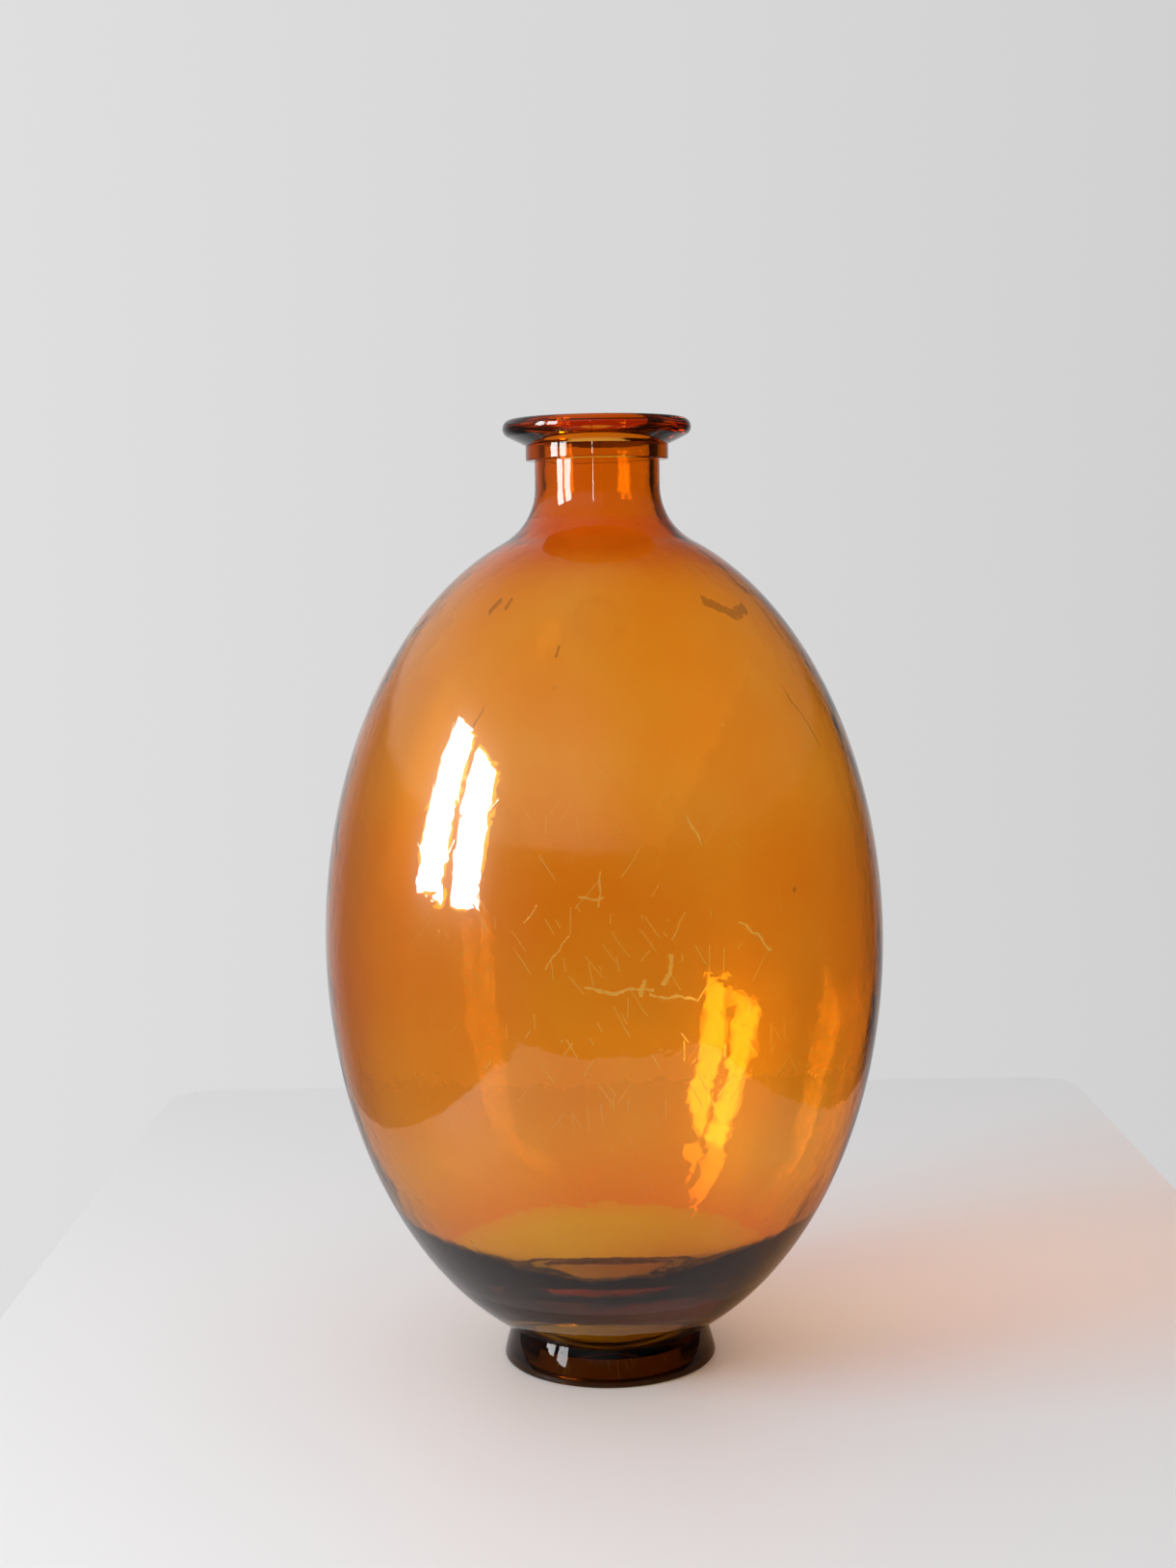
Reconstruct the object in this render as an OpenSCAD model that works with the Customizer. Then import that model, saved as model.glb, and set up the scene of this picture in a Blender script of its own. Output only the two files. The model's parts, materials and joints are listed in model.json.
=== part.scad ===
// Footed egg-shaped vase of mould-blown amber glass, open at the mouth.
// It stands on the plane z = 0, and the Z axis is its axis of turning.
// Six solids of revolution meet face to face, from the foot up to the lip.

/* [Body] */
// Widest diameter of the egg-shaped body
body_d = 254; // [252:1:256]
// Height of the widest place above the table
belly_z = 194.5; // [194:0.5:195.5]
// Half height of the egg below its widest place
lower_half = 190.5; // [189.5:0.5:191.5]
// Half height of the egg above its widest place
upper_half = 192.2; // [190:0.1:195]

/* [Glass thickness] */
// Thickness of the wall of the body
wall = 2.8; // [2.4:0.1:3.6]
// Height of the lowest point of the hollow above the table
floor_z = 26; // [25:0.5:28]
// Radius of the bowl that the glass floor is dished to
bowl_curve = 118; // [117:1:120]
// Radius of the round corner inside, between the bowl and the wall
heel_curve = 40; // [36:1:44]

/* [Neck] */
// Outside diameter of the straight neck
neck_d = 56.6; // [54:0.2:60]
// Diameter of the bore through the neck, the collar and the lip
mouth_d = 47; // [42:0.5:49]
// Radius of the hollow curve between the neck and the shoulder
shoulder_curve = 28; // [26:0.5:30]
// Height at which the neck grows out of the shoulder
neck_z = 386; // [383:1:390]

/* [Collar and lip] */
// Height of the lower edge of the collar
collar_z = 411.5; // [410:0.5:413]
// Outside diameter of the collar
collar_d = 64.4; // [62:0.2:66]
// Height at which the lip sits on the collar
lip_z = 418.4; // [417:0.2:419]
// Height of the top of the lip above the table
top_z = 430; // [429:0.5:432]
// Outside diameter of the lip
lip_d = 85; // [82:0.5:88]
// Diameter of the round outer edge of the lip
bead_d = 8.2; // [7:0.1:9]

/* [Foot] */
// Outside diameter of the foot ring just above the table
foot_d = 98.4; // [96:0.2:102]
// Height of the foot ring
foot_h = 16.2; // [15.8:0.1:17]
// How far the leaning side of the foot turns from its lower to its upper edge, in degrees
foot_turn = 8; // [4:1:12]
// Diameter of the hollow under the foot
hollow_d = 74; // [66:1:78]
// Height of the hollow under the foot at its rim
hollow_h = 9; // [6:0.5:11]
// Extra height of the hollow at the middle
hollow_rise = 3; // [0.5:0.5:4]
// Height at which the body grows out of the base pad
pad_z = 44; // [42:1:48]

/* [Hidden] */

amber = [0.80, 0.42, 0.10, 0.75];
deep_amber = [0.62, 0.26, 0.04, 0.85];
smoked = [0.24, 0.15, 0.06, 0.9];

$fn = 96;

body_r = body_d / 2;
neck_r = neck_d / 2;
mouth_r = mouth_d / 2;
collar_r = collar_d / 2;
hollow_r = hollow_d / 2;
bead_r = bead_d / 2;

// Steps along the long curves of the body, and along the short round edges
long_steps = 36;
curve_steps = 8;
edge_steps = 6;

// Radii of the small round edges
foot_edge = 1.5;
hollow_edge = 2.5;
collar_edge = 0.8;
mouth_edge = 3;

// How much lower the flat top of the lip is at the mouth, and the slope under the bead
top_fall = 0.6;
bead_under = -65;

// An egg is [radius, lower half height, upper half height]; it is centred at belly_z
outer_egg = [body_r, lower_half, upper_half];
inner_egg = [body_r - wall, lower_half - wall, upper_half - wall];

// Centre of the floor's bowl, and the direction from it to the place where the base pad ends
bowl = [0, floor_z + bowl_curve];
bowl_join = -asin((bowl[1] - pad_z) / bowl_curve);

// Half height of an egg on the side of a polar angle, which is 0 at the top and 180 at the bottom
function half_at(egg, t) = t < 90 ? egg[2] : egg[1];

// Point of an egg at a polar angle
function egg_point(egg, t) = [egg[0] * sin(t), belly_z + half_at(egg, t) * cos(t)];

// Polar angle of an egg at a height
function egg_angle(egg, z) = z > belly_z ? acos((z - belly_z) / egg[2]) : acos((z - belly_z) / egg[1]);

// Points of an egg from one polar angle to another
function egg_arc(egg, from, to, n) = [for (i = [0:n]) egg_point(egg, from + (to - from) * i / n)];

// Points of a circle's arc
function arc(c, r, from, to, n) =
    [for (i = [0:n]) let (a = from + (to - from) * i / n) [c[0] + r * cos(a), c[1] + r * sin(a)]];

// Points of an arc from one point to another that bows outwards and turns by an angle
function bowed(from, to, turn, n) =
    let (
        lean = atan2(to[1] - from[1], to[0] - from[0]) - 90,
        r = norm(to - from) / 2 / sin(turn / 2),
        c = (from + to) / 2 - r * cos(turn / 2) * [cos(lean), sin(lean)]
    )
    arc(c, r, lean - turn / 2, lean + turn / 2, n);

// Direction, above the horizontal, of an egg's outward normal at a polar angle
function egg_normal(egg, t) = atan2(egg[0] * cos(t), half_at(egg, t) * sin(t));

// Point a distance r outside an egg, or inside it where r is negative
function beside_egg(egg, t, r) =
    let (n = egg_normal(egg, t))
    egg_point(egg, t) + r * [cos(n), sin(n)];

// Value between low and high at which a function turns from negative to positive
function solve(gap, low, high, steps = 30) =
    let (mid = (low + high) / 2)
    steps == 0 ? mid
    : gap(mid) < 0 ? solve(gap, mid, high, steps - 1)
    : solve(gap, low, mid, steps - 1);

// A curve that touches an egg is [centre, curve radius, polar angle of the touch]
function touching(egg, t, r) = [beside_egg(egg, t, r), abs(r), t];

// The shoulder touches the egg from outside, and leads up to a tube of radius tube_r
function shoulder(egg, tube_r, r) =
    touching(egg, solve(function (t) beside_egg(egg, t, r)[0] - tube_r - r, 5, 60), r);

// The heel touches the egg and the floor's bowl, both from inside
function heel(egg, r) =
    touching(egg, solve(function (t) norm(beside_egg(egg, t, -r) - bowl) - bowl_curve + r, 120, 180), -r);

outer_shoulder = shoulder(outer_egg, neck_r, shoulder_curve);
inner_shoulder = shoulder(inner_egg, mouth_r, shoulder_curve + neck_r - mouth_r);
inner_heel = heel(inner_egg, heel_curve);

// Direction from the bowl's centre to the heel's
heel_start = atan2(inner_heel[0][1] - bowl[1], inner_heel[0][0]);

// Direction at which a shoulder's curve passes a height
function shoulder_angle(s, z) = 180 + asin((s[0][1] - z) / s[1]);

// Points of a shoulder's curve from one direction to another
function shoulder_arc(s, from, to) = arc(s[0], s[1], from, to, curve_steps);

// Points of the wall, upwards, from a polar angle of its egg to the root of the neck
function wall_line(egg, from, s) = concat(
    egg_arc(egg, from, s[2], long_steps),
    shoulder_arc(s, 180 + egg_normal(egg, s[2]), shoulder_angle(s, neck_z))
);

// Points of the floor, outwards, from the base pad to the wall
floor_line = concat(
    arc(bowl, bowl_curve, bowl_join, heel_start, edge_steps),
    arc(inner_heel[0], heel_curve, heel_start, egg_normal(inner_egg, inner_heel[2]), edge_steps)
);

// Points in the opposite order
function backwards(points) = [for (i = [len(points) - 1:-1:0]) points[i]];

// A solid of revolution from an outline of [radius, height] points
module turned(outline) {
    rotate_extrude() polygon(outline);
}

// Ring that the vase stands on, leaning in from the table up to the surface of the egg
module foot_ring() {
    foot_r = foot_d / 2;
    foot_top = egg_point(outer_egg, egg_angle(outer_egg, foot_h));
    color(smoked) turned(concat(
        arc([foot_r - foot_edge, foot_edge], foot_edge, -90, 0, edge_steps),
        bowed([foot_r, foot_edge], foot_top, foot_turn, edge_steps),
        [[hollow_r, foot_h]],
        arc([hollow_r + hollow_edge, hollow_edge], hollow_edge, 180, 270, edge_steps)
    ));
}

// Thick glass floor, dished above and hollowed below, that fills the ring
module base_pad() {
    dome = [for (i = [0:curve_steps]) let (x = i / curve_steps)
        [hollow_r * x, hollow_h + hollow_rise * (1 - x * x)]];
    color(smoked) turned(concat(
        dome,
        [[hollow_r, foot_h]],
        egg_arc(outer_egg, egg_angle(outer_egg, foot_h), egg_angle(outer_egg, pad_z), curve_steps),
        arc(bowl, bowl_curve, bowl_join, -90, curve_steps)
    ));
}

// Egg-shaped wall from the base pad to the root of the neck
module body() {
    color(amber) turned(concat(
        wall_line(outer_egg, egg_angle(outer_egg, pad_z), outer_shoulder),
        backwards(wall_line(inner_egg, inner_heel[2], inner_shoulder)),
        backwards(floor_line)
    ));
}

// Short neck with its flare into the shoulder
module neck() {
    color(deep_amber) turned(concat(
        shoulder_arc(outer_shoulder, shoulder_angle(outer_shoulder, neck_z), 180),
        [[neck_r, collar_z], [mouth_r, collar_z]],
        shoulder_arc(inner_shoulder, 180, shoulder_angle(inner_shoulder, neck_z))
    ));
}

// Stepped collar between the neck and the lip
module collar_ring() {
    edge_r = collar_r - collar_edge;
    color(deep_amber) turned(concat(
        [[mouth_r, collar_z]],
        arc([edge_r, collar_z + collar_edge], collar_edge, -90, 0, edge_steps),
        [[collar_r, lip_z], [mouth_r, lip_z]]
    ));
}

// Flared lip with a round outer edge and a softened mouth
module lip_ring() {
    bead_x = lip_d / 2 - bead_r;
    mouth_top = top_z - top_fall;
    color(deep_amber) turned(concat(
        [[mouth_r, lip_z], [collar_r, lip_z]],
        arc([bead_x, top_z - bead_r], bead_r, bead_under, 90, 2 * edge_steps),
        arc([mouth_r + mouth_edge, mouth_top - mouth_edge], mouth_edge, 90, 180, edge_steps)
    ));
}

foot_ring();
base_pad();
body();
neck();
collar_ring();
lip_ring();
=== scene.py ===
import json
import math

import bmesh
import bpy
import numpy as np
from mathutils import Matrix, Vector, noise


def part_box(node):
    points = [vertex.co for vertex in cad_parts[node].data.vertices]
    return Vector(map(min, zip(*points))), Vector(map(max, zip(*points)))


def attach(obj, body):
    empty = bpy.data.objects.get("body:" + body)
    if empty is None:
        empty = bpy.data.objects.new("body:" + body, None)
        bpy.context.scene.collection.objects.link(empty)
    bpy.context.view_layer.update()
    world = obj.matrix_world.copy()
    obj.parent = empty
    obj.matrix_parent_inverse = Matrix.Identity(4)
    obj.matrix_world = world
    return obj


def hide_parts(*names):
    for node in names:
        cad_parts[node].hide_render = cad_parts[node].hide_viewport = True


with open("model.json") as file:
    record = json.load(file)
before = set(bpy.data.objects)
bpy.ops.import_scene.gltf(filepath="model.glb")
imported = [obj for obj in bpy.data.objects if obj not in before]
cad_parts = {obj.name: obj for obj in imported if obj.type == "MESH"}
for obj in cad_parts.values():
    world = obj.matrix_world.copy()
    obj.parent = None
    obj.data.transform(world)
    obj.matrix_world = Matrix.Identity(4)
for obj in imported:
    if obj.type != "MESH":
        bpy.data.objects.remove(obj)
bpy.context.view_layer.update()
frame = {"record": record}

# ---------------------------------------------------------------- sizes, in metres

MM = 0.001


def top_of(node):
    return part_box(node)[1].z


def radius_of(node):
    low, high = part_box(node)
    return (high.x - low.x) / 2


MOUTH = next(m for m in frame["record"]["mounts"] if m["name"] == "mouth")

FOOT_TOP = top_of("foot_ring")
PAD_TOP = top_of("base_pad")
NECK_ROOT = top_of("body")
COLLAR_LOW = top_of("neck")
LIP_LOW = top_of("collar_ring")
LIP_TOP = top_of("lip_ring")
HOLLOW_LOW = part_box("base_pad")[0].z

FOOT_R = radius_of("foot_ring")
COLLAR_R = radius_of("collar_ring")
LIP_R = radius_of("lip_ring")
MOUTH_R = MOUTH["dims"]["r_mm"] * MM

# The rest of the outline's sizes, which no box gives exactly
BODY_R = 127 * MM
BELLY_Z = 194.5 * MM
LOWER_HALF = 190.5 * MM
UPPER_HALF = 192.2 * MM
WALL = 2.8 * MM
FLOOR_Z = 26 * MM
BOWL_R = 118 * MM
HEEL_R = 40 * MM
NECK_R = 28.3 * MM
SHOULDER_CURVE = 28 * MM
FOOT_EDGE = 1.5 * MM
FOOT_TURN = math.radians(8)
HOLLOW_R = 37 * MM
HOLLOW_RISE = 3 * MM
HOLLOW_EDGE = 2.5 * MM
COLLAR_EDGE = 0.8 * MM
MOUTH_EDGE = 3 * MM
MOUTH_FALL = 0.6 * MM
BEAD_R = 4.1 * MM
BEAD_UNDER = math.radians(-65)

# An egg is its radius, its lower half height and its upper half height. Below, the shoulder and
# the heel touch it somewhere between two polar angles
OUTER_EGG = (BODY_R, LOWER_HALF, UPPER_HALF)
INNER_EGG = (BODY_R - WALL, LOWER_HALF - WALL, UPPER_HALF - WALL)
SHOULDER_TOUCH = (0.09, 1.05)
HEEL_TOUCH = (2.1, math.pi)

# ---------------------------------------------------------------- camera

# The eye's place, how far it looks down, and how much the picture leans
EYE_HEIGHT = 0.3655
EYE_DISTANCE = 0.981
EYE_SIDE = -0.0063
PITCH = math.radians(5.8)
ROLL = math.radians(-0.89)
LENS_MM = 49.75


def make_camera():
    data = bpy.data.cameras.new("camera")
    data.lens = LENS_MM
    data.sensor_width = 36
    data.clip_start = 0.01
    data.clip_end = 100
    camera = bpy.data.objects.new("camera", data)
    place = Matrix.Translation((EYE_SIDE, -EYE_DISTANCE, EYE_HEIGHT))
    turn = Matrix.Rotation(math.pi / 2 - PITCH, 4, "X") @ Matrix.Rotation(ROLL, 4, "Z")
    camera.matrix_world = place @ turn
    bpy.context.collection.objects.link(camera)
    bpy.context.scene.camera = camera


make_camera()

# ---------------------------------------------------------------- outlines

SKIN, INSIDE, JOINT = 0, 1, 2


def half_of(egg, t):
    return egg[2] if t < math.pi / 2 else egg[1]


def egg_point(egg, t):
    """Point of an egg at a polar angle, which is 0 at the top."""
    return egg[0] * math.sin(t), BELLY_Z + half_of(egg, t) * math.cos(t)


def egg_angle(egg, z):
    half = egg[2] if z > BELLY_Z else egg[1]
    return math.acos((z - BELLY_Z) / half)


def egg_arc(egg, start, end, step):
    """Points of an egg between two polar angles, about a step apart."""
    n = max(2, math.ceil(abs(end - start) * egg[1] / step))
    return [egg_point(egg, start + (end - start) * i / n) for i in range(n + 1)]


def arc(centre, r, start, end, step):
    """Points of a circle's arc between two directions, about a step apart."""
    n = max(4, math.ceil(abs(end - start) * r / step))
    angles = [start + (end - start) * i / n for i in range(n + 1)]
    return [(centre[0] + r * math.cos(a), centre[1] + r * math.sin(a)) for a in angles]


def line(start, end, step):
    """Points of a straight line, about a step apart."""
    n = max(1, math.ceil(math.dist(start, end) / step))
    return [tuple(np.add(start, np.subtract(end, start) * i / n)) for i in range(n + 1)]


def bowed(start, end, turn, step):
    """An arc between two points that bows outwards and turns by an angle."""
    across, up = end[0] - start[0], end[1] - start[1]
    lean = math.atan2(up, across) - math.pi / 2
    r = math.hypot(across, up) / 2 / math.sin(turn / 2)
    back = r * math.cos(turn / 2)
    centre_x = (start[0] + end[0]) / 2 - back * math.cos(lean)
    centre_z = (start[1] + end[1]) / 2 - back * math.sin(lean)
    return arc((centre_x, centre_z), r, lean - turn / 2, lean + turn / 2, step)


def egg_normal(egg, t):
    """Direction above the horizontal of an egg's outward normal."""
    return math.atan2(egg[0] * math.cos(t), half_of(egg, t) * math.sin(t))


def beside_egg(egg, t, r):
    """Point a distance r outside an egg, or inside it where r is negative."""
    x, z = egg_point(egg, t)
    n = egg_normal(egg, t)
    return x + r * math.cos(n), z + r * math.sin(n)


def solve(gap, low, high, halvings=40):
    """Where gap turns from negative to positive."""
    for _ in range(halvings):
        mid = (low + high) / 2
        low, high = (mid, high) if gap(mid) < 0 else (low, mid)
    return low


class Shoulder:
    """The hollow curve that joins a tube to an egg below it."""

    def __init__(self, egg, tube_r, r):
        self.touch = solve(lambda t: beside_egg(egg, t, r)[0] - tube_r - r, *SHOULDER_TOUCH)
        self.r = r
        self.centre = beside_egg(egg, self.touch, r)
        self.start = math.pi + egg_normal(egg, self.touch)

    def angle(self, z):
        return math.pi + math.asin((self.centre[1] - z) / self.r)

    def arc(self, start, end, step):
        return arc(self.centre, self.r, start, end, step)


class Heel:
    """The round corner inside, between the wall's egg and the bowl of the floor."""

    def __init__(self, egg, bowl, bowl_r, r):
        self.touch = solve(
            lambda t: math.dist(beside_egg(egg, t, -r), bowl) - (bowl_r - r), *HEEL_TOUCH)
        self.r = r
        self.centre = beside_egg(egg, self.touch, -r)
        self.end = egg_normal(egg, self.touch)
        self.start = math.atan2(self.centre[1] - bowl[1], self.centre[0] - bowl[0])


OUTER_SHOULDER = Shoulder(OUTER_EGG, NECK_R, SHOULDER_CURVE)
INNER_SHOULDER = Shoulder(INNER_EGG, MOUTH_R, SHOULDER_CURVE + NECK_R - MOUTH_R)
BOWL = (0, FLOOR_Z + BOWL_R)
HEEL = Heel(INNER_EGG, BOWL, BOWL_R, HEEL_R)
BOWL_JOIN = -math.asin((BOWL[1] - PAD_TOP) / BOWL_R)

# How far apart an outline's points are on the egg, on straight lines and on small round edges
LONG_STEP = 2.5 * MM
LINE_STEP = 1.5 * MM
SHORT_STEP = 0.5 * MM
DOME_POINTS = 19


def wall_line(egg, start, shoulder):
    """The wall from a polar angle of its egg up to the root of the neck."""
    low = egg_arc(egg, start, shoulder.touch, LONG_STEP)
    return low + shoulder.arc(shoulder.start, shoulder.angle(NECK_ROOT), LONG_STEP / 2)[1:]


# Each outline is a list of stretches, (kind, points), that follow each other round it


def foot_outline():
    low = (FOOT_R - FOOT_EDGE, FOOT_EDGE)
    top = egg_point(OUTER_EGG, egg_angle(OUTER_EGG, FOOT_TOP))
    inner = (HOLLOW_R + HOLLOW_EDGE, HOLLOW_EDGE)
    quarter = math.pi / 2
    return [
        (SKIN, arc(low, FOOT_EDGE, -quarter, 0, SHORT_STEP)
            + bowed((FOOT_R, FOOT_EDGE), top, FOOT_TURN, LINE_STEP)[1:]),
        (JOINT, [top, (HOLLOW_R, FOOT_TOP)]),
        (JOINT, [(HOLLOW_R, FOOT_TOP), (HOLLOW_R, HOLLOW_LOW)]),
        (INSIDE, line((HOLLOW_R, HOLLOW_LOW), (HOLLOW_R, inner[1]), LINE_STEP)
            + arc(inner, HOLLOW_EDGE, math.pi, 3 * quarter, SHORT_STEP)[1:]),
        (INSIDE, line((inner[0], 0), (low[0], 0), LINE_STEP)),
    ]


def pad_outline():
    dome = [(HOLLOW_R * x, HOLLOW_LOW + HOLLOW_RISE * (1 - x * x)) for x in np.linspace(0, 1, DOME_POINTS)]
    bowl = arc(BOWL, BOWL_R, BOWL_JOIN, -math.pi / 2, LONG_STEP / 2)
    outer = egg_arc(OUTER_EGG, egg_angle(OUTER_EGG, FOOT_TOP), egg_angle(OUTER_EGG, PAD_TOP), LONG_STEP / 2)
    return [
        (INSIDE, dome),
        (JOINT, [(HOLLOW_R, HOLLOW_LOW), (HOLLOW_R, FOOT_TOP)]),
        (JOINT, [(HOLLOW_R, FOOT_TOP), outer[0]]),
        (SKIN, outer),
        (JOINT, [outer[-1], bowl[0]]),
        (INSIDE, bowl),
    ]


def body_outline():
    outer = wall_line(OUTER_EGG, egg_angle(OUTER_EGG, PAD_TOP), OUTER_SHOULDER)
    floor = arc(BOWL, BOWL_R, BOWL_JOIN, HEEL.start, LONG_STEP / 2)
    floor += arc(HEEL.centre, HEEL_R, HEEL.start, HEEL.end, LONG_STEP / 2)[1:]
    inner = (floor + wall_line(INNER_EGG, HEEL.touch, INNER_SHOULDER)[1:])[::-1]
    return [
        (SKIN, outer),
        (JOINT, [outer[-1], inner[0]]),
        (INSIDE, inner),
        (JOINT, [inner[-1], outer[0]]),
    ]


def neck_outline():
    flare = OUTER_SHOULDER.arc(OUTER_SHOULDER.angle(NECK_ROOT), math.pi, LONG_STEP / 2)
    bore = INNER_SHOULDER.arc(math.pi, INNER_SHOULDER.angle(NECK_ROOT), LONG_STEP / 2)
    return [
        (SKIN, flare + line(flare[-1], (NECK_R, COLLAR_LOW), LINE_STEP)[1:]),
        (JOINT, [(NECK_R, COLLAR_LOW), (MOUTH_R, COLLAR_LOW)]),
        (INSIDE, line((MOUTH_R, COLLAR_LOW), bore[0], LINE_STEP) + bore[1:]),
        (JOINT, [bore[-1], flare[0]]),
    ]


def collar_outline():
    edge = (COLLAR_R - COLLAR_EDGE, COLLAR_LOW + COLLAR_EDGE)
    return [
        (JOINT, [(MOUTH_R, COLLAR_LOW), (NECK_R, COLLAR_LOW)]),
        (SKIN, line((NECK_R, COLLAR_LOW), (edge[0], COLLAR_LOW), LINE_STEP)
            + arc(edge, COLLAR_EDGE, -math.pi / 2, 0, SHORT_STEP / 2)[1:]
            + line((COLLAR_R, edge[1]), (COLLAR_R, LIP_LOW), LINE_STEP)[1:]),
        (JOINT, [(COLLAR_R, LIP_LOW), (MOUTH_R, LIP_LOW)]),
        (INSIDE, line((MOUTH_R, LIP_LOW), (MOUTH_R, COLLAR_LOW), LINE_STEP)),
    ]


def lip_outline():
    bead = (LIP_R - BEAD_R, LIP_TOP - BEAD_R)
    mouth = (MOUTH_R + MOUTH_EDGE, LIP_TOP - MOUTH_FALL - MOUTH_EDGE)
    edge = arc(bead, BEAD_R, BEAD_UNDER, math.pi / 2, SHORT_STEP)
    crown = line(edge[-1], (mouth[0], mouth[1] + MOUTH_EDGE), LINE_STEP)
    return [
        (JOINT, [(MOUTH_R, LIP_LOW), (COLLAR_R, LIP_LOW)]),
        (SKIN, line((COLLAR_R, LIP_LOW), edge[0], LINE_STEP) + edge[1:] + crown[1:]
            + arc(mouth, MOUTH_EDGE, math.pi / 2, math.pi, SHORT_STEP)[1:]),
        (INSIDE, line((MOUTH_R, mouth[1]), (MOUTH_R, LIP_LOW), LINE_STEP)),
    ]


# ---------------------------------------------------------------- turned meshes

COLUMNS = 192
# The gap between two joined pieces, the radius inside which a ring is a pole, and a small distance
JOINT_GAP = 0.02 * MM
POLE_R = 0.3 * MM
TINY = 0.1 * MM

# The two mould seams: their directions, how far round each has finer columns, and their ridge
SEAMS = (math.radians(-93.6), math.radians(86.4))
SEAM_HALF = math.radians(1.5)
SEAM_CLEAR = 1.4 * SEAM_HALF
SEAM_STEPS = 5
SEAM_WIDTH = 0.35 * MM
SEAM_PROUD = 0.22 * MM
FAINT_SEAM = 0.10 * MM

# Slow waves of the outside: depth and period
SKIN_WAVE = 0.03 * MM
SKIN_PERIOD = 35 * MM

# Ripples of the hollow: their depth at some heights, their periods, and the finer ones' share
RIPPLE_HEIGHTS = (FLOOR_Z, 60 * MM, 300 * MM, NECK_ROOT)
RIPPLE_DEPTHS = (0.1 * MM, 0.22 * MM, 0.22 * MM, 0.05 * MM)
RIPPLE_PERIOD = 30 * MM
FINE_PERIOD = 12 * MM
FINE_SHARE = 0.4
# The hollow's ripples fade towards the axis inside this radius
CALM_R = 30 * MM


def column_angles():
    """Angles round the axis, closer together at the two mould seams."""
    even = [-math.pi + math.tau * i / COLUMNS for i in range(COLUMNS)]
    far = [a for a in even if min(abs(a - s) for s in SEAMS) > SEAM_CLEAR]
    near = [s + SEAM_HALF * i / SEAM_STEPS for s in SEAMS for i in range(-SEAM_STEPS, SEAM_STEPS + 1)]
    return np.array(sorted(far + near))


ANGLES = column_angles()


def waves(points, period, seed):
    """Smooth noise between about -1 and 1, with a period in metres, drawn out along Z."""
    shift = Vector((seed * 7.31, seed * 3.17, seed * 5.73))
    return np.array([noise.noise(Vector((x, y, z / 2)) / period + shift) for x, y, z in points])


def seam_height(points):
    """How far the mould seam stands out: a fine ridge on both sides, faint on the body."""
    angle = np.arctan2(points[:, 1], points[:, 0])
    away = np.minimum(abs(angle - SEAMS[0]), abs(angle - SEAMS[1])) * np.hypot(points[:, 0], points[:, 1])
    height = np.where(points[:, 2] > NECK_ROOT, SEAM_PROUD, FAINT_SEAM)
    return height * np.exp(-(away / SEAM_WIDTH) ** 2)


def uneven(points):
    """How far the outside stands in from its true outline, so that it stays in the CAD's box."""
    return seam_height(points) - SEAM_PROUD + SKIN_WAVE * (waves(points, SKIN_PERIOD, 1) - 1)


def rippled(points):
    """How far the hollow's wall wanders, which is less in the narrow neck."""
    depth = np.interp(points[:, 2], RIPPLE_HEIGHTS, RIPPLE_DEPTHS)
    return depth * (waves(points, RIPPLE_PERIOD, 2) + FINE_SHARE * waves(points, FINE_PERIOD, 3))


def ring_kinds(stretches):
    """The points of an outline, the kind of each stretch between two of them, and if it is closed."""
    rings, kinds = [], []
    for kind, points in stretches:
        rings += points[:-1]
        kinds += [kind] * (len(points) - 1)
    last = stretches[-1][1][-1]
    closed = math.dist(rings[0], last) < JOINT_GAP
    if not closed:
        rings.append(last)
    return np.array(rings), kinds, closed


def set_apart(rings, kinds):
    """Draws each joint's two ends in a little, so that two pieces' joined faces don't coincide."""
    moved = rings.copy()
    count = len(rings)
    for i, kind in enumerate(kinds):
        if kind != JOINT:
            continue
        a, b = i, (i + 1) % count
        along = rings[b] - rings[a]
        inward = np.array((-along[1], along[0])) / np.linalg.norm(along) * JOINT_GAP / 2
        for j in (a, b):
            moved[j] = moved[j] + inward
    return moved


def bounding(kinds, wanted, count):
    """1 for each ring at the end of a stretch of the wanted kind, and 0 for the others."""
    share = np.zeros(count)
    for i, kind in enumerate(kinds):
        if kind == wanted:
            share[[i, (i + 1) % count]] = 1
    return np.repeat(share, len(ANGLES))


def spun(rings):
    """The points of every ring at every angle."""
    grid = np.empty((len(rings), len(ANGLES), 3))
    grid[..., 0] = rings[:, :1] * np.cos(ANGLES)
    grid[..., 1] = rings[:, :1] * np.sin(ANGLES)
    grid[..., 2] = rings[:, 1:]
    return grid.reshape(-1, 3)


def worked(verts, skin, inside):
    """The points moved in or out by the skin's unevenness or the hollow's ripples."""
    out = verts * (1, 1, 0)
    radius = np.linalg.norm(out, axis=1)
    out /= np.maximum(radius, TINY)[:, None]
    hollow = inside * (verts[:, 2] > FLOOR_Z - TINY) * np.minimum(radius / CALM_R, 1)
    move = skin * uneven(verts) + hollow * (1 - skin) * rippled(verts)
    return verts + out * move[:, None]


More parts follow.
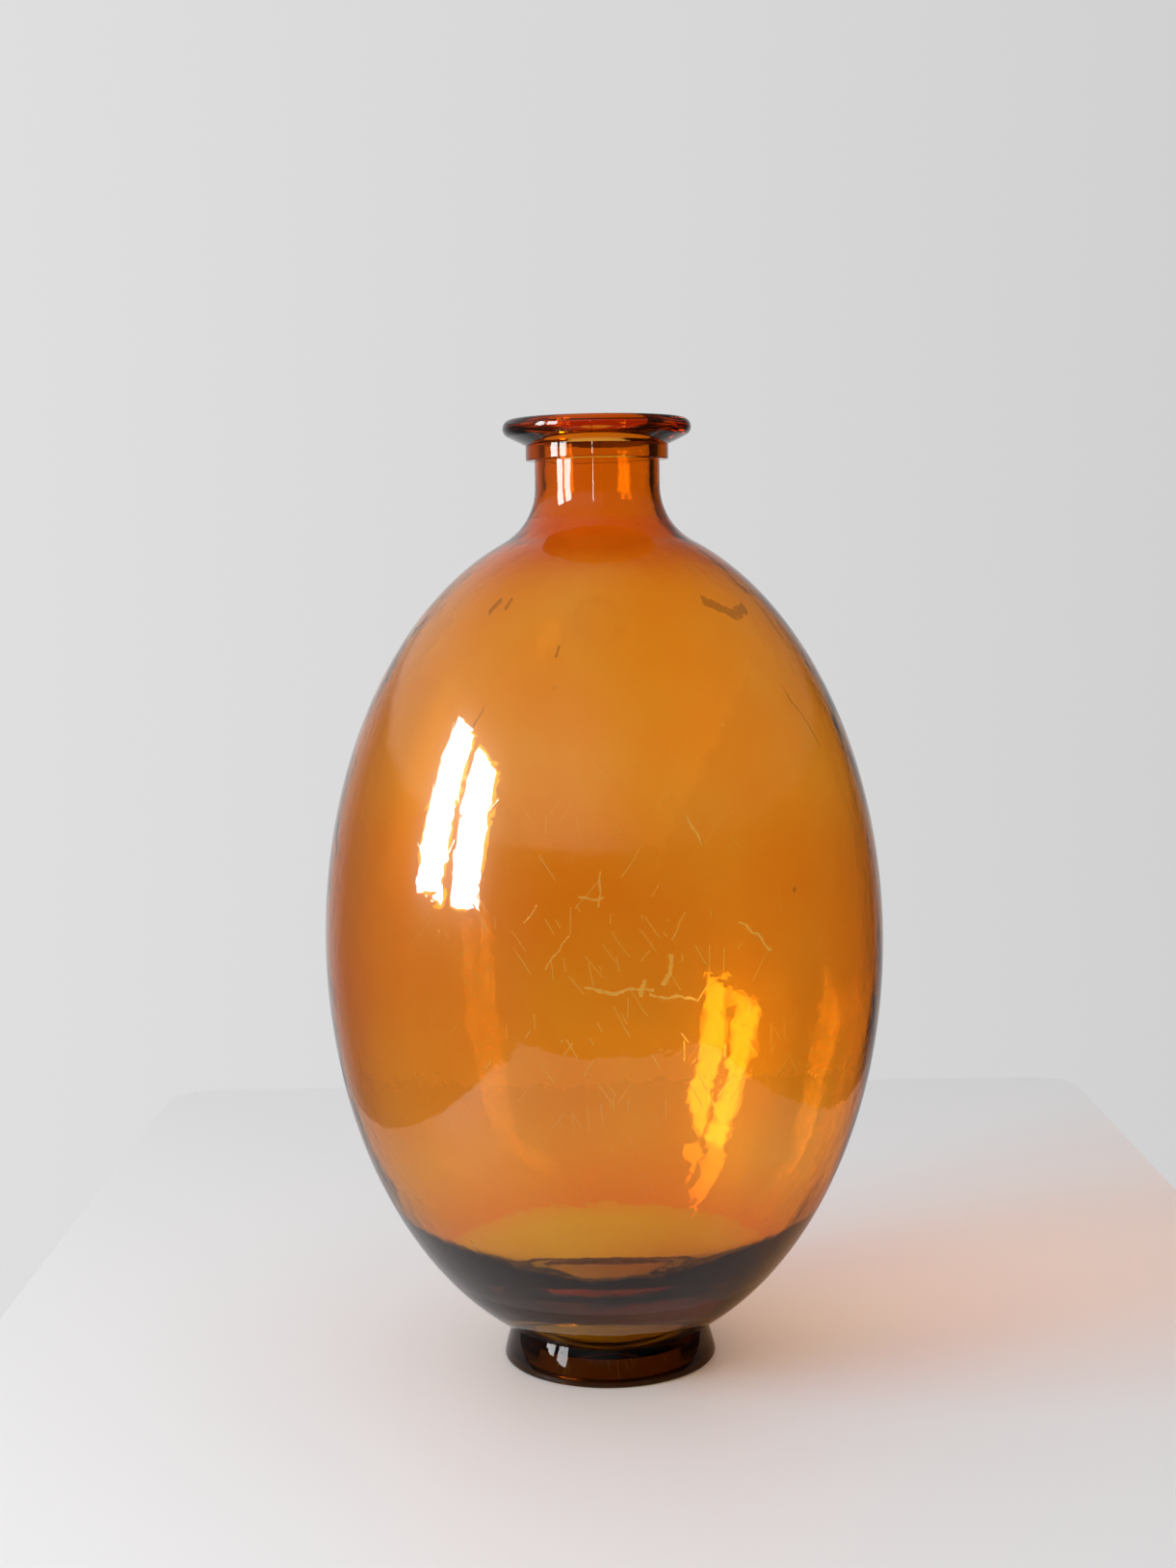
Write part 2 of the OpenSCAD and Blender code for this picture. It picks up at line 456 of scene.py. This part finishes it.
def turned(name, stretches):
    """A closed mesh turned about Z, with the attributes that its glass reads."""
    rings, kinds, closed = ring_kinds(stretches)
    count, columns = len(rings), len(ANGLES)
    skin = bounding(kinds, SKIN, count)
    verts = worked(spun(set_apart(rings, kinds)), skin, bounding(kinds, INSIDE, count))

    def at(i, j):
        return (i % count) * columns + j % columns

    faces = [(at(i, j), at(i, j + 1), at(i + 1, j + 1), at(i + 1, j))
             for i in range(len(kinds)) for j in range(columns)]
    mesh = bpy.data.meshes.new(name)
    mesh.from_pydata(verts.tolist(), [], faces)
    mesh.polygons.foreach_set("use_smooth", [True] * len(faces))
    joined = mesh.attributes.new("joined", "FLOAT", "FACE")
    joined.data.foreach_set("value", np.repeat([float(k == JOINT) for k in kinds], columns))
    coated = mesh.attributes.new("skin", "FLOAT", "POINT")
    coated.data.foreach_set("value", skin)
    mark_sharp(mesh, kinds, columns)
    if not closed:
        close_poles(mesh)
    piece = bpy.data.objects.new(name, mesh)
    bpy.context.collection.objects.link(piece)
    return piece


def mark_sharp(mesh, kinds, columns):
    """A crease round each ring at which a joint's flat face begins or ends."""
    count = len(mesh.vertices) // columns
    rows = {i % count for i in range(len(kinds)) if (kinds[i] == JOINT) != (kinds[i - 1] == JOINT)}
    ends = np.empty(2 * len(mesh.edges), int)
    mesh.edges.foreach_get("vertices", ends)
    row = ends.reshape(-1, 2) // columns
    sharp = mesh.attributes.new("sharp_edge", "BOOLEAN", "EDGE")
    sharp.data.foreach_set("value", (row[:, 0] == row[:, 1]) & np.isin(row[:, 0], list(rows)))


def close_poles(mesh):
    """Welds each ring that lies on the axis into a single point."""
    shape = bmesh.new()
    shape.from_mesh(mesh)
    near = [v for v in shape.verts if math.hypot(v.co.x, v.co.y) < POLE_R]
    bmesh.ops.remove_doubles(shape, verts=near, dist=2 * POLE_R)
    shape.to_mesh(mesh)
    shape.free()


# ---------------------------------------------------------------- nodes


def add(tree, kind, inputs=None, **settings):
    """A shader node, with inputs given as values or as sockets to link."""
    node = tree.nodes.new("ShaderNode" + kind)
    for name, value in settings.items():
        setattr(node, name, value)
    for key, value in (inputs or {}).items():
        if isinstance(value, bpy.types.NodeSocket):
            tree.links.new(value, node.inputs[key])
        else:
            node.inputs[key].default_value = value
    return node


def maths(tree, operation, *values):
    """One step of arithmetic on values or sockets."""
    return add(tree, "Math", dict(enumerate(values)), operation=operation).outputs[0]


def ramp(tree, value, start, end, low=0.0, high=1.0):
    """Goes smoothly from low to high as value goes from start to end."""
    inputs = {"Value": value, "From Min": start, "From Max": end, "To Min": low, "To Max": high}
    return add(tree, "MapRange", inputs, interpolation_type="SMOOTHSTEP").outputs["Result"]


def blend_colours(tree, factor, first, second, way="MIX"):
    """Two colours mixed by a factor, each given as a colour or as a socket."""
    mix = add(tree, "Mix", data_type="RGBA", blend_type=way)
    for index, value in ((0, factor), (6, first), (7, second)):
        if isinstance(value, bpy.types.NodeSocket):
            tree.links.new(value, mix.inputs[index])
        else:
            mix.inputs[index].default_value = value if index == 0 else (*value, 1)
    return mix.outputs[2]


def attribute(tree, name):
    """A number that the mesh carries."""
    return add(tree, "Attribute", attribute_name=name).outputs["Fac"]


# ---------------------------------------------------------------- glass

IOR = 1.5
# The outside's unevenness: how fine it is and how deep
GRAIN = ((300.0, 0.014 * MM), (80.0, 0.16 * MM))
# The shader tints by the root of its colour, so a colour is the square of what is let through
SQUARED = 2

# What the amber skin lets through each time, and how much less it lets through in places:
# (tint, heights between which it begins, heights between which it ends)
AMBER = (0.985, 0.62, 0.14)
DEEPER_AND_SHADED = (
    # the belly
    ((0.94, 0.84, 0.66), (0.11, 0.165), (0.275, 0.225)),
    # the root of the neck and all above it
    ((0.92, 0.62, 0.25), (0.352, 0.380), (1.0, 0.9)),
    # the foot, darker partly for its thick glass and partly as painted shade from the shaded table seen
    # through it
    ((0.12, 0.05, 0.03), (-1.0, -0.9), (0.0168, 0.0160)),
)
# The skin is cloudy: how fine the clouds are, and the powers of the tint where it is thin and deep
CLOUD_SCALE = 14.0
CLOUD_POWERS = (1.75, 2.3)
CLOUD_RANGE = (0.3, 0.7)
# Share of a lamp's light that the skin's surface lets through, beside its tint
SKIN_CLEAR = 0.96

# What the bare glass under the amber lets through, and the dark of a stone in the glass, which also colours
# the smudge and the painted reflections of thin dark streaks
BARE = (0.88, 0.84, 0.42)
STONE_SMUDGE_AND_REFLECTION = (0.20, 0.08, 0.02)
# How rough and how deep a scratch is, how dark the smudge and the painted reflections of dark streaks are,
# and how blurred the haze is
SCRATCH_ROUGH = 0.45
SCRATCH_DEPTH = 0.05 * MM
SMUDGE_AND_REFLECTION_DARK = 0.75
HAZE_ROUGH = 0.22
# Small round marks: their spacing, their size and the share kept
PALE_SPECKS = (30 * MM, 1.0 * MM, 0.25)
DARK_SPECKS = (24 * MM, 0.7 * MM, 0.30)


def round_body(tree):
    """Coordinates in metres: (way round from the front, height, zero), and the plain ones."""
    place = add(tree, "TexCoord").outputs["Object"]
    split = add(tree, "SeparateXYZ", {0: place})
    back = maths(tree, "MULTIPLY", split.outputs["Y"], -1.0)
    angle = maths(tree, "ARCTAN2", split.outputs["X"], back)
    around = maths(tree, "MULTIPLY", angle, BODY_R)
    return add(tree, "CombineXYZ", {"X": around, "Y": split.outputs["Z"]}).outputs[0], place


# A scratch bends by up to BEND, lies in a cell CELL times its length, and reaches up to REACH of the
# cell each way
BEND_SCALE = 22.0
BEND = 10 * MM
CELL = 1.6
REACH = 0.32


def scratches(tree, flat, tilt, length, spacing, width, kept):
    """Short scratches at one tilt: 1 on a scratch and 0 beside it."""
    bend = add(tree, "TexNoise", {"Vector": flat, "Scale": BEND_SCALE, "Detail": 1.0}).outputs["Color"]
    bend = add(tree, "VectorMath", {0: bend, 1: (BEND, BEND, 0.0)}, operation="MULTIPLY").outputs[0]
    bent = add(tree, "VectorMath", {0: flat, 1: bend}, operation="ADD").outputs[0]
    turn = add(tree, "Mapping", {"Vector": bent, "Rotation": (0, 0, math.radians(tilt))})
    cells = add(tree, "VectorMath", {0: turn.outputs[0], 1: (1 / (CELL * length), 1 / spacing, 0.0)},
                operation="MULTIPLY").outputs[0]
    nearest = add(tree, "TexVoronoi", {"Vector": cells, "Scale": 1.0}, voronoi_dimensions="2D")
    offset = add(tree, "VectorMath", {0: cells, 1: nearest.outputs["Position"]}, operation="SUBTRACT")
    split = add(tree, "SeparateXYZ", {0: offset.outputs[0]})
    chance = add(tree, "SeparateColor", {0: nearest.outputs["Color"]})
    along = maths(tree, "ABSOLUTE", split.outputs["X"])
    across = maths(tree, "ABSOLUTE", split.outputs["Y"])
    reach = maths(tree, "MULTIPLY", chance.outputs["Green"], REACH)
    short = maths(tree, "LESS_THAN", along, reach)
    thin = ramp(tree, across, 0.0, width / spacing, 1.0, 0.0)
    there = maths(tree, "LESS_THAN", chance.outputs["Red"], kept)
    return maths(tree, "MULTIPLY", maths(tree, "MULTIPLY", short, thin), there)


SCRATCH_LAYERS = (
    # tilt, length, spacing, width, share kept
    (57, 14 * MM, 5 * MM, 0.35 * MM, 0.34),
    (-52, 16 * MM, 6 * MM, 0.35 * MM, 0.28),
    (86, 12 * MM, 7 * MM, 0.40 * MM, 0.30),
)
# Round the middle of the front the fine scratches are strong, and beyond it they are faint
WORN_MIDDLE = (5 * MM, BELLY_Z + 8 * MM, 0.0)
WORN_REACH = (30 * MM, 110 * MM)
WORN_STRENGTH = (0.8, 0.12)

# The longest scratches: (way round from the front as at the belly, height, tilt in degrees, length,
# width), in mm
PALE_MARKS = (
    (5, 195, -1, 28, 0.9),
    (27, 192, -6, 20, 0.9),
    (-20, 211, 57, 17, 0.5),
    (-31, 226, 52, 9, 0.5),
    (29, 221, 63, 12, 0.5),
    (39, 258, -63, 13, 0.7),
    (64, 214, -38, 20, 0.8),
    (25, 203, 76, 13, 1.6),
    (15, 196, 80, 7, 1.5),
    (-3, 236, 84, 14, 0.7),
    (-6, 233, 0, 10, 0.9),
)
# The smudge on the right shoulder, and smaller dark streaks, listed in the same way. The smudge is a real
# mark; the smaller dark streaks near the edges are painted reflections of thin dark things round the object
SMUDGES_AND_PAINTED_REFLECTIONS = (
    (90, 346.5, -18, 25, 3.8),
    (110, 344.5, 20, 16, 3.8),
    (136, 359, 88, 15, 2.6),
    (140, 339, 90, 14, 1.8),
    (-79, 348, 40, 8, 2.4),
    (-26, 330, 70, 5, 1.4),
    (-68, 349, 60, 5, 2.4),
    (-70, 292, 66, 34, 0.8),
    (118, 300, -60, 30, 0.8),
    (86, 231, 20, 2, 1.4),
    (-137, 92, 60, 15, 4.5),
)


# How finely and how far a mark's edge frays, and how it wanders to each side
FRAY_SCALE = 420.0
FRAY = 1.12
WANDER_SCALE = 90.0
WANDER = 3 * MM


def marks(tree, flat, listed):
    """Long broken marks at given places: 1 on a mark and 0 beside it."""
    fray = add(tree, "TexNoise", {"Vector": flat, "Scale": FRAY_SCALE, "Detail": 2.0}).outputs["Fac"]
    wander = add(tree, "TexNoise", {"Vector": flat, "Scale": WANDER_SCALE, "Detail": 1.0}).outputs["Fac"]
    shift = maths(tree, "MULTIPLY_ADD", wander, 2 * WANDER, -WANDER)
    total = 0.0
    for around, height, tilt, length, width in listed:
        turn = add(tree, "Mapping", {
            "Vector": flat, "Location": (around * MM, height * MM, 0),
            "Rotation": (0, 0, math.radians(tilt))}, vector_type="TEXTURE")
        split = add(tree, "SeparateXYZ", {0: turn.outputs[0]})
        across = maths(tree, "ABSOLUTE", maths(tree, "ADD", split.outputs["Y"], shift))
        on = maths(tree, "LESS_THAN", across, maths(tree, "MULTIPLY", fray, FRAY * width * MM))
        within = maths(tree, "LESS_THAN", maths(tree, "ABSOLUTE", split.outputs["X"]), length * MM / 2)
        total = maths(tree, "MAXIMUM", total, maths(tree, "MULTIPLY", on, within))
    return total


def worn(tree, flat):
    """All fine scratches together, thickest at the middle of the front and thin elsewhere."""
    total = 0.0
    for layer in SCRATCH_LAYERS:
        total = maths(tree, "MAXIMUM", total, scratches(tree, flat, *layer))
    middle = add(tree, "VectorMath", {0: flat, 1: WORN_MIDDLE}, operation="DISTANCE")
    near = ramp(tree, middle.outputs["Value"], *WORN_REACH, *WORN_STRENGTH)
    return maths(tree, "MULTIPLY", total, near)


def specks(tree, place, spacing, size, kept):
    """Small round marks, such as seeds and stones in the glass."""
    cells = add(tree, "TexVoronoi", {"Vector": place, "Scale": 1 / spacing})
    chance = add(tree, "SeparateColor", {0: cells.outputs["Color"]}).outputs["Red"]
    dot = ramp(tree, cells.outputs["Distance"], 0.5 * size / spacing, size / spacing, 1.0, 0.0)
    return maths(tree, "MULTIPLY", dot, maths(tree, "LESS_THAN", chance, kept))


def skin_tint(tree, place, tint):
    """The colour of the amber skin, which is cloudy and in places deeper, and at the foot darkened partly
    as painted shade.
    """
    cloud = add(tree, "TexNoise", {"Vector": place, "Scale": CLOUD_SCALE, "Detail": 3.0}).outputs["Fac"]
    thin, deep = (tuple(c ** power for c in tint) for power in CLOUD_POWERS)
    colour = blend_colours(tree, ramp(tree, cloud, *CLOUD_RANGE), thin, deep)
    height = add(tree, "SeparateXYZ", {0: place}).outputs["Z"]
    for deeper, begins, ends in DEEPER_AND_SHADED:
        there = maths(tree, "MULTIPLY", ramp(tree, height, *begins), ramp(tree, height, *ends))
        colour = blend_colours(tree, there, colour, tuple(c ** SQUARED for c in deeper), "MULTIPLY")
    return colour


def scratched(tree, flat, place, pale, wear, skin):
    """How far the amber is worn off the skin, from 0 to 1."""
    found = maths(tree, "MAXIMUM", worn(tree, flat), marks(tree, flat, pale))
    found = maths(tree, "MAXIMUM", found, specks(tree, place, *PALE_SPECKS))
    return maths(tree, "MULTIPLY", maths(tree, "MULTIPLY", found, wear), skin)


def stones_stains_and_painted_reflections(tree, flat, place, dark):
    """How dark the smudge, the stones and the painted reflections of thin dark streaks make the skin, from
    0 to 1.
    """
    smudges_and_reflections = maths(tree, "MULTIPLY", marks(tree, flat, dark), SMUDGE_AND_REFLECTION_DARK)
    return maths(tree, "MAXIMUM", smudges_and_reflections, specks(tree, place, *DARK_SPECKS))


def grained(tree, place, scratch):
    """The bump of the surface's fine grain and of its scratches."""
    height = maths(tree, "MULTIPLY", scratch, -SCRATCH_DEPTH)
    for scale, depth in GRAIN:
        grain = add(tree, "TexNoise", {"Vector": place, "Scale": scale, "Detail": 2.0}).outputs["Fac"]
        height = maths(tree, "ADD", height, maths(tree, "MULTIPLY", grain, depth))
    return add(tree, "Bump", {"Height": height, "Strength": 1.0, "Distance": 1.0}).outputs[0]


def glass(name, tint, taken, wear=0.3, shine=1.0, haze=0.0, pale=(), dark=()):
    """Glass with an amber skin outside, clear inside, and see-through where pieces join.

    tint is what the skin lets through, taken is what a metre of the glass absorbs, wear is how
    strong the scratches are, shine is the share of a clean surface's mirroring, and haze is
    how much of a blurred mirror lies over it. pale are scratches at given places, and dark are a
    smudge and painted reflections of thin dark streaks at given places.
    """
    material = bpy.data.materials.new(name)
    material.use_nodes = True
    tree = material.node_tree
    tree.nodes.clear()
    flat, place = round_body(tree)
    skin = attribute(tree, "skin")
    joined = attribute(tree, "joined")

    scratch = scratched(tree, flat, place, pale, wear, skin)
    colour = blend_colours(tree, scratch, skin_tint(tree, place, tint), BARE)
    # The smudge and the stones darken the skin, and so do the painted reflections of thin dark streaks
    colour = blend_colours(tree, stones_stains_and_painted_reflections(tree, flat, place, dark), colour, STONE_SMUDGE_AND_REFLECTION)
    colour = blend_colours(tree, skin, (1, 1, 1), colour)
    shader = add(tree, "BsdfPrincipled", {
        "Base Color": colour, "Normal": grained(tree, place, scratch), "IOR": IOR,
        "Specular Tint": (shine, shine, shine, 1), "Transmission Weight": 1.0,
        "Roughness": maths(tree, "MULTIPLY", scratch, SCRATCH_ROUGH),
        "Coat Weight": haze, "Coat Roughness": HAZE_ROUGH})
    gap = add(tree, "BsdfTransparent")
    seen = add(tree, "MixShader", {0: joined, 1: shader.outputs[0], 2: gap.outputs[0]})

    # A lamp's light goes straight through, and is tinted by the skin
    lamp = add(tree, "LightPath").outputs["Is Shadow Ray"]
    outside = maths(tree, "MULTIPLY", skin, maths(tree, "SUBTRACT", 1.0, joined))
    passed = blend_colours(tree, outside, (1, 1, 1), tuple(SKIN_CLEAR * c for c in tint))
    clear = add(tree, "BsdfTransparent", {"Color": passed})
    surface = add(tree, "MixShader", {0: lamp, 1: seen.outputs[0], 2: clear.outputs[0]})

    density = max(taken)
    depth = add(tree, "VolumeAbsorption", {
        "Color": (*(1 - t / density for t in taken), 1), "Density": density})
    add(tree, "OutputMaterial", {"Surface": surface.outputs[0], "Volume": depth.outputs[0]})
    return material


GLASSES = {
    "amber_glass": glass(
        "amber_glass", AMBER, (8, 45, 110), wear=0.8, haze=0.18, pale=PALE_MARKS, dark=SMUDGES_AND_PAINTED_REFLECTIONS),
    "deep_amber_glass": glass("deep_amber_glass", AMBER, (16, 20, 60), shine=0.55),
    "dark_amber_glass": glass("dark_amber_glass", (0.95, 0.80, 0.50), (8, 32, 90), shine=0.6),
    "smoked_amber_glass": glass("smoked_amber_glass", (0.97, 0.80, 0.20), (14, 20, 110), shine=0.25),
}
OUTLINES = {
    "foot_ring": foot_outline,
    "base_pad": pad_outline,
    "body": body_outline,
    "neck": neck_outline,
    "collar_ring": collar_outline,
    "lip_ring": lip_outline,
}
SLOTS = {s["node"]: s["material_slot"] for s in frame["record"]["subparts"]}

for node, outline in OUTLINES.items():
    piece = turned(node + "_glass", outline())
    piece.data.materials.append(GLASSES[SLOTS[node]])
    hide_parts(node)
    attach(piece, "root")

# ---------------------------------------------------------------- floor and light

# The floor's near left and far right corner, and how round its corners are
FLOOR_LOW = (-0.30, -0.50)
FLOOR_HIGH = (0.33, 0.52)
FLOOR_CORNER = 0.03
FLOOR_STEP = 4 * MM
FLOOR_COLOUR = (0.80, 0.80, 0.81)
FLOOR_ROUGH = 0.5


def make_floor():
    """A plain pale top with rounded corners."""
    (left, near), (right, far) = FLOOR_LOW, FLOOR_HIGH
    corners = []
    for i, (x, y) in enumerate(((right, far), (left, far), (left, near), (right, near))):
        centre = (x - math.copysign(FLOOR_CORNER, x), y - math.copysign(FLOOR_CORNER, y))
        start = i * math.pi / 2
        corners += arc(centre, FLOOR_CORNER, start, start + math.pi / 2, FLOOR_STEP)
    mesh = bpy.data.meshes.new("floor")
    mesh.from_pydata([(x, y, 0) for x, y in corners], [], [tuple(range(len(corners)))])
    floor = bpy.data.objects.new("floor", mesh)
    bpy.context.collection.objects.link(floor)
    material = bpy.data.materials.new("floor")
    material.use_nodes = True
    shader = material.node_tree.nodes["Principled BSDF"]
    shader.inputs["Base Color"].default_value = (*FLOOR_COLOUR, 1)
    shader.inputs["Roughness"].default_value = FLOOR_ROUGH
    floor.data.materials.append(material)


# The window stands left of the object: where its wall is, its panes' lower and upper edge, and
# each pane's nearer and farther side
WINDOW_X = -1.5
WINDOW_Z = (0.30, 1.28)
PANES = ((-0.31, -0.67), (-0.80, -1.28))
# How bright a pane is where it is mirrored, and where it lights things
WINDOW_MIRRORED = 30
WINDOW_LIGHTING = 13
# Share of the mirrored strength that reaches the floor through the glass
WINDOW_THROUGH = 0.2


def make_window():
    """Each pane twice: once as it is mirrored and seen through glass, and once as it lights things."""
    height = WINDOW_Z[1] - WINDOW_Z[0]
    for near, far in PANES:
        for radiance, lights in ((WINDOW_MIRRORED, False), (WINDOW_LIGHTING, True)):
            data = bpy.data.lights.new("window_pane", "AREA")
            data.shape = "RECTANGLE"
            data.size = height
            data.size_y = near - far
            data.energy = radiance * math.pi * data.size * data.size_y
            pane = bpy.data.objects.new("window_pane", data)
            middle = (WINDOW_X, (near + far) / 2, sum(WINDOW_Z) / 2)
            pane.matrix_world = Matrix.Translation(middle) @ Matrix.Rotation(-math.pi / 2, 4, "Y")
            pane.visible_camera = False
            pane.visible_diffuse = lights
            pane.visible_glossy = not lights
            pane.visible_transmission = not lights
            data.use_nodes = True
            tree = data.node_tree
            bounced = maths(tree, "MINIMUM", add(tree, "LightPath").outputs["Diffuse Depth"], 1.0)
            least = 1.0 if lights else WINDOW_THROUGH
            strength = maths(tree, "MAXIMUM", maths(tree, "SUBTRACT", 1.0, bounced), least)
            tree.links.new(strength, tree.nodes["Emission"].inputs["Strength"])
            bpy.context.collection.objects.link(pane)


# The wall behind: how bright it is where it is seen, how that changes to the right, and how much
# brighter it is through the glass
WALL_SEEN = 0.688
WALL_SLOPE = -0.18
THROUGH_GAIN = 0.13

# The dim room as it is mirrored. Each part goes from one value to another as the direction goes
# from one share of an axis to another: (start, end, value at each), or from 0 to 1. The mirrored
# wall's axis is Y, turned a little to the left
WALL_SKEW = -0.15
WALL_MIRRORED = (0.68, 1.0, 0.0, 0.65)
LEFT_SIDE = (-0.3, -0.7, 0.03, 0.17)
CEILING_EDGE = (0.22, 0.30)
CEILING_ACROSS = (0.35, -0.25, 0.14, 0.70)
CEILING_UP = (0.5, 0.9, 1.0, 0.4)


def make_world():
    """A pale wall where it is seen, and the dim room with its bright ceiling where it is mirrored."""
    world = bpy.data.worlds.new("studio")
    world.use_nodes = True
    bpy.context.scene.world = world
    tree = world.node_tree
    tree.nodes.clear()
    split = add(tree, "SeparateXYZ", {0: add(tree, "TexCoord").outputs["Generated"]})
    x, y, z = (split.outputs[axis] for axis in "XYZ")
    seen = maths(tree, "MULTIPLY_ADD", x, WALL_SLOPE, WALL_SEEN)
    behind = maths(tree, "MULTIPLY_ADD", x, WALL_SKEW, y)
    start, end, low, high = WALL_MIRRORED
    wall = add(tree, "MapRange", {
        "Value": behind, "From Min": start, "From Max": end, "To Min": low, "To Max": high})
    left = ramp(tree, x, *LEFT_SIDE)
    lit = maths(tree, "MULTIPLY", ramp(tree, x, *CEILING_ACROSS), ramp(tree, z, *CEILING_UP))
    ceiling = maths(tree, "MULTIPLY", ramp(tree, z, *CEILING_EDGE), lit)
    mirrored = maths(tree, "MAXIMUM", maths(tree, "MAXIMUM", wall.outputs[0], left), ceiling)
    path = add(tree, "LightPath")
    through = maths(tree, "GREATER_THAN", path.outputs["Transmission Depth"], 0.5)
    seen = maths(tree, "MULTIPLY", seen, maths(tree, "MULTIPLY_ADD", through, THROUGH_GAIN, 1.0))
    turned_back = maths(tree, "GREATER_THAN", path.outputs["Glossy Depth"], 0.5)
    strength = add(tree, "Mix", {0: turned_back, 2: seen, 3: mirrored}).outputs[0]
    background = add(tree, "Background", {"Color": (1, 1, 1, 1), "Strength": strength})
    add(tree, "OutputWorld", {"Surface": background.outputs[0]})


make_floor()
make_window()
make_world()
scene = bpy.context.scene
scene.view_settings.view_transform = "Standard"
scene.cycles.transparent_max_bounces = 32
